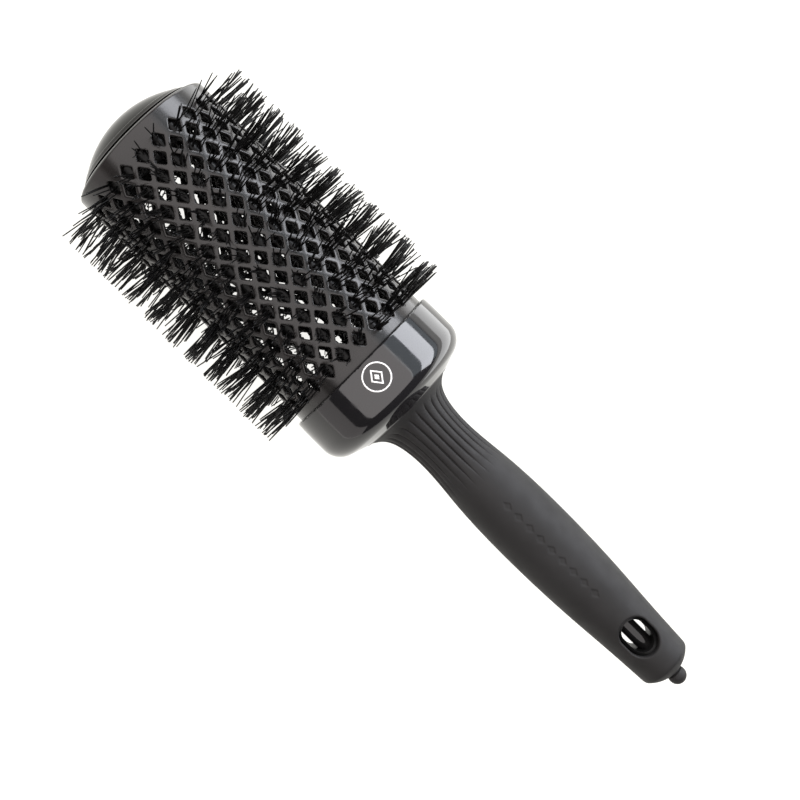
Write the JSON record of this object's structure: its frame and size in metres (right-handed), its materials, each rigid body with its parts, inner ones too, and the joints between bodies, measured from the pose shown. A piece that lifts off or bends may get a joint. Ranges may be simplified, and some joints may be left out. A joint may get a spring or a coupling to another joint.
{
  "type": "round hair brush",
  "caption": "Round hair brush with a vented metal barrel, rows of black nylon bristles, a glossy collar, a fluted rubber handle with a hanging slot and a pull-out sectioning pick.",
  "frame": {"origin": "on the brush's axis, half way between the domed tip and the end of the pick's knob", "axes": "+X along the brush's axis towards the handle's end, +Z square to the hanging slot, +Y across"},
  "size_m": [0.2588, 0.0784, 0.0784],
  "materials": {
    "barrel_metal": "satin",
    "inner_plastic": "matte",
    "cap_gloss": "gloss",
    "collar_gloss": "gloss",
    "core_plastic": "satin",
    "grip_rubber": "matte",
    "sleeve_plastic": "gloss",
    "pick_plastic": "gloss",
    "knob_rubber": "matte",
    "wire_steel": "satin",
    "bristle_nylon": "satin"
  },
  "bodies": {
    "brush": {"barrel": "barrel_metal", "tip_spider": "inner_plastic", "base_spider": "inner_plastic", "tip_cap": "cap_gloss", "collar": "collar_gloss", "handle_core": "core_plastic", "handle_grip": "grip_rubber", "pick_sleeve": "sleeve_plastic", "wire_stem_01": "wire_steel", "wire_stem_02": "wire_steel", "wire_stem_03": "wire_steel", "wire_stem_04": "wire_steel", "wire_stem_05": "wire_steel", "wire_stem_06": "wire_steel", "wire_stem_07": "wire_steel", "wire_stem_08": "wire_steel", "wire_stem_09": "wire_steel", "wire_stem_10": "wire_steel", "wire_stem_11": "wire_steel", "wire_stem_12": "wire_steel", "wire_stem_13": "wire_steel", "wire_stem_14": "wire_steel", "wire_stem_15": "wire_steel", "wire_stem_16": "wire_steel", "wire_stem_17": "wire_steel", "wire_stem_18": "wire_steel", "wire_stem_19": "wire_steel", "wire_stem_20": "wire_steel", "wire_stem_21": "wire_steel", "wire_stem_22": "wire_steel", "wire_stem_23": "wire_steel", "wire_stem_24": "wire_steel", "bristle_row_01": "bristle_nylon", "bristle_row_02": "bristle_nylon", "bristle_row_03": "bristle_nylon", "bristle_row_04": "bristle_nylon", "bristle_row_05": "bristle_nylon", "bristle_row_06": "bristle_nylon", "bristle_row_07": "bristle_nylon", "bristle_row_08": "bristle_nylon", "bristle_row_09": "bristle_nylon", "bristle_row_10": "bristle_nylon", "bristle_row_11": "bristle_nylon", "bristle_row_12": "bristle_nylon", "bristle_row_13": "bristle_nylon", "bristle_row_14": "bristle_nylon", "bristle_row_15": "bristle_nylon", "bristle_row_16": "bristle_nylon", "bristle_row_17": "bristle_nylon", "bristle_row_18": "bristle_nylon", "bristle_row_19": "bristle_nylon", "bristle_row_20": "bristle_nylon", "bristle_row_21": "bristle_nylon", "bristle_row_22": "bristle_nylon", "bristle_row_23": "bristle_nylon", "bristle_row_24": "bristle_nylon"},
    "pick": {"pick_shank": "pick_plastic", "pick_knob": "knob_rubber"}
  },
  "joints": [
    {"name": "pick_slide", "type": "slide", "parent": "brush", "child": "pick", "axis": [1, 0, 0], "range_m": [0, 0.076]}
  ]
}
